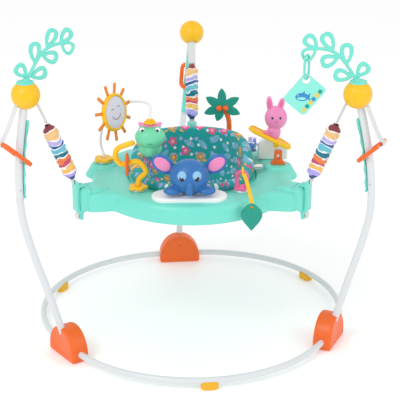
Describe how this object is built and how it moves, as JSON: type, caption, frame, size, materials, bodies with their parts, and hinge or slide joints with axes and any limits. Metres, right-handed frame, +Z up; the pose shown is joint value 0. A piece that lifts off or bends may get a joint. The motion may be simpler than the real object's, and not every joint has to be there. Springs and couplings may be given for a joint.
{
  "type": "baby activity jumper",
  "caption": "Free-standing baby jumper: round tube base, leaning uprights with ball tops, sprung toy tray and a fabric seat that turns in it.",
  "frame": {"origin": "on the floor, below the middle of the whole jumper's bounding box", "axes": "+Z up, -Y towards the front, where the toy console is, +X to the viewer's right from the front"},
  "size_m": [0.8766, 0.9038, 0.7926],
  "materials": {
    "white_steel": "satin white powder coat",
    "orange_plastic": "moulded, semi-gloss",
    "yellow_rubber": "soft moulded foot pads",
    "mint_plastic": "moulded, semi-gloss",
    "yellow_plastic": "moulded, semi-gloss",
    "white_webbing": "woven webbing",
    "striped_cloth": "ruched striped polyester",
    "spring_steel": "drawn spring wire",
    "white_plastic": "moulded, semi-gloss",
    "printed_cloth": "printed polyester over light padding",
    "blue_plastic": "moulded, semi-gloss",
    "green_plastic": "moulded, semi-gloss",
    "pink_plastic": "moulded, semi-gloss",
    "teal_plastic": "moulded, semi-gloss"
  },
  "bodies": {
    "frame": {"base_tube_left": "white_steel", "base_tube_front": "white_steel", "base_tube_right": "white_steel", "upright_lower_rear": "white_steel", "upright_lower_left": "white_steel", "upright_lower_right": "white_steel", "upright_upper_rear": "white_steel", "upright_upper_left": "white_steel", "upright_upper_right": "white_steel", "foot_hub_rear": "orange_plastic", "foot_hub_left": "orange_plastic", "foot_hub_right": "orange_plastic", "foot_pad_left": "yellow_rubber", "foot_pad_front": "yellow_rubber", "foot_pad_right": "yellow_rubber", "height_rack_rear": "mint_plastic", "height_rack_left": "mint_plastic", "height_rack_right": "mint_plastic", "frond_left": "mint_plastic", "frond_right": "mint_plastic", "top_ball_rear": "yellow_plastic", "top_ball_left": "yellow_plastic", "top_ball_right": "yellow_plastic", "strap_rear": "white_webbing", "strap_left": "white_webbing", "strap_right": "white_webbing"},
    "clip_rear": {"height_clip_rear": "orange_plastic"},
    "clip_left": {"height_clip_left": "orange_plastic"},
    "clip_right": {"height_clip_right": "orange_plastic"},
    "hangers": {"spring_sleeve_rear": "striped_cloth", "spring_sleeve_left": "striped_cloth", "spring_sleeve_right": "striped_cloth", "spring_rear": "spring_steel", "spring_left": "spring_steel", "spring_right": "spring_steel"},
    "tray": {"tray": "mint_plastic", "tray_hook_rear": "mint_plastic", "tray_hook_left": "mint_plastic", "tray_hook_right": "mint_plastic", "console_base": "white_plastic", "arch_base": "yellow_plastic", "toy_arch": "white_plastic", "squiggle_base": "yellow_plastic", "squiggle_tube": "yellow_plastic", "loop_post": "pink_plastic", "surf_stand": "orange_plastic", "drum_housing": "white_plastic"},
    "seat": {"seat_ring": "mint_plastic", "seat_fabric": "printed_cloth"},
    "sun": {"sun_spinner": "yellow_plastic"},
    "frog": {"frog_toy": "green_plastic"},
    "bead": {"disc_bead": "orange_plastic"},
    "leaf": {"leaf_teether": "teal_plastic"},
    "palm": {"palm_tree": "teal_plastic"},
    "surfer": {"surfboard": "yellow_plastic", "bunny_rider": "pink_plastic"},
    "drum": {"roller_drum": "pink_plastic"},
    "elephant": {"elephant_button": "blue_plastic"},
    "link": {"link_ring": "mint_plastic"},
    "tag": {"tag_card": "mint_plastic"}
  },
  "joints": [
    {"name": "tray_height", "type": "slide", "parent": "frame", "child": "hangers", "axis": [0, 0, 1], "range_m": [-0.04, 0.04], "deforming": ["strap_rear", "strap_left", "strap_right"]},
    {"name": "tray_bounce", "type": "slide", "parent": "hangers", "child": "tray", "axis": [0, 0, 1], "range_m": [-0.08, 0], "stiffness_N_per_m": 1600, "springref_m": 0.045, "deforming": ["spring_sleeve_rear", "spring_sleeve_left", "spring_sleeve_right", "spring_rear", "spring_left", "spring_right"]},
    {"name": "clip_rear_slide", "type": "slide", "parent": "frame", "child": "clip_rear", "axis": [0.0948, -0.15, 0.9841], "range_m": [-0.045, 0.045]},
    {"name": "clip_left_slide", "type": "slide", "parent": "frame", "child": "clip_left", "axis": [0.0825, 0.157, 0.9841], "range_m": [-0.045, 0.045]},
    {"name": "clip_right_slide", "type": "slide", "parent": "frame", "child": "clip_right", "axis": [-0.1772, -0.0071, 0.9841], "range_m": [-0.045, 0.045]},
    {"name": "seat_spin", "type": "hinge", "parent": "tray", "child": "seat", "pos_m": [-0.00506, -0.05011, 0.384], "axis": [0, 0, 1], "continuous": true},
    {"name": "sun_spin", "type": "hinge", "parent": "tray", "child": "sun", "pos_m": [-0.19106, -0.09611, 0.562], "axis": [0.842, -0.5261, 0.1191], "continuous": true},
    {"name": "frog_spin", "type": "hinge", "parent": "tray", "child": "frog", "pos_m": [-0.10306, -0.19211, 0.53], "axis": [0, 0, 1], "continuous": true},
    {"name": "bead_spin", "type": "hinge", "parent": "tray", "child": "bead", "pos_m": [-0.15806, -0.20211, 0.4652], "axis": [1, 0, 0], "continuous": true},
    {"name": "leaf_swing", "type": "hinge", "parent": "tray", "child": "leaf", "pos_m": [0.11394, -0.21411, 0.4504], "axis": [-1, 0, 0], "range_deg": [0, 70]},
    {"name": "palm_spin", "type": "hinge", "parent": "tray", "child": "palm", "pos_m": [0.08994, 0.13989, 0.4], "axis": [0, 0, 1], "continuous": true},
    {"name": "surf_rock", "type": "hinge", "parent": "tray", "child": "surfer", "pos_m": [0.21094, -0.02511, 0.446], "axis": [0, 1, 0], "range_deg": [-9, 9], "stiffness_Nm_per_rad": 3},
    {"name": "drum_spin", "type": "hinge", "parent": "tray", "child": "drum", "pos_m": [0.14894, 0.04189, 0.4364], "axis": [1, 0, 0], "continuous": true},
    {"name": "elephant_press", "type": "slide", "parent": "tray", "child": "elephant", "axis": [0, 0, 1], "range_m": [-0.003, 0], "stiffness_N_per_m": 1500, "springref_m": 0.006},
    {"name": "link_swing", "type": "hinge", "parent": "frame", "child": "link", "pos_m": [0.2519, -0.26611, 0.7428], "axis": [0, 1, 0], "range_deg": [-12, 15]},
    {"name": "tag_swing", "type": "hinge", "parent": "link", "child": "tag", "pos_m": [0.2519, -0.26611, 0.6878], "axis": [0, 1, 0], "range_deg": [-12, 20]}
  ],
  "couplings": [
    {"joint": "clip_rear_slide", "follows": "tray_height", "ratio": -1},
    {"joint": "clip_left_slide", "follows": "tray_height", "ratio": -1},
    {"joint": "clip_right_slide", "follows": "tray_height", "ratio": -1}
  ]
}
